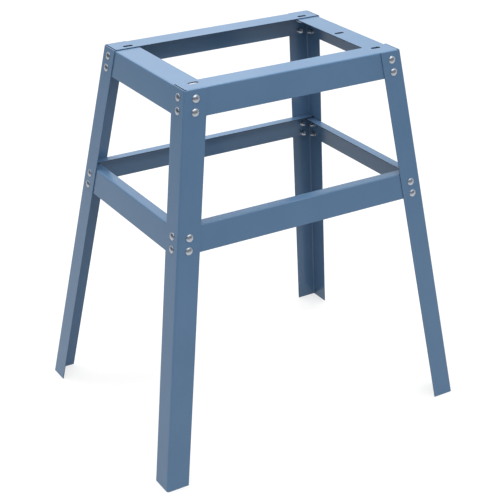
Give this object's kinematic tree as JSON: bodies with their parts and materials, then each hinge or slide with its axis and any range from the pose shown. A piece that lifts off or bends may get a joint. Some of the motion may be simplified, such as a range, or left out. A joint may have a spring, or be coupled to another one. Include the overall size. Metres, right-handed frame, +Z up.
{
  "type": "bench grinder stand",
  "caption": "Open sheet-steel stand for a bench-top machine: splayed angle legs bolted to a slotted top frame and a lower bracing frame.",
  "frame": {"origin": "on the floor, midway between the feet", "axes": "+Z up; X along the length of the top frame, +X towards the rail with the extra middle slot; +Y from the front to the rear"},
  "size_m": [0.739, 0.561, 0.8],
  "materials": {
    "painted_steel": "satin blue-grey enamel",
    "zinc_plated_steel": "bright zinc plate"
  },
  "bodies": {
    "root": {"leg_front_left": "painted_steel", "leg_front_right": "painted_steel", "leg_rear_left": "painted_steel", "leg_rear_right": "painted_steel", "top_front_rail": "painted_steel", "top_rear_rail": "painted_steel", "top_left_rail": "painted_steel", "top_right_rail": "painted_steel", "lower_front_rail": "painted_steel", "lower_rear_rail": "painted_steel", "lower_left_rail": "painted_steel", "lower_right_rail": "painted_steel", "bolts_top_front_left": "zinc_plated_steel", "bolts_top_front_right": "zinc_plated_steel", "bolts_top_rear_left": "zinc_plated_steel", "bolts_top_rear_right": "zinc_plated_steel", "bolts_lower_front_left": "zinc_plated_steel", "bolts_lower_front_right": "zinc_plated_steel", "bolts_lower_rear_left": "zinc_plated_steel", "bolts_lower_rear_right": "zinc_plated_steel", "washers_top_front_left": "zinc_plated_steel", "washers_top_front_right": "zinc_plated_steel", "washers_top_rear_left": "zinc_plated_steel", "washers_top_rear_right": "zinc_plated_steel", "washers_lower_front_left": "zinc_plated_steel", "washers_lower_front_right": "zinc_plated_steel", "washers_lower_rear_left": "zinc_plated_steel", "washers_lower_rear_right": "zinc_plated_steel", "nuts_top_front_left": "zinc_plated_steel", "nuts_top_front_right": "zinc_plated_steel", "nuts_top_rear_left": "zinc_plated_steel", "nuts_top_rear_right": "zinc_plated_steel", "nuts_lower_front_left": "zinc_plated_steel", "nuts_lower_front_right": "zinc_plated_steel", "nuts_lower_rear_left": "zinc_plated_steel", "nuts_lower_rear_right": "zinc_plated_steel"}
  },
  "joints": []
}
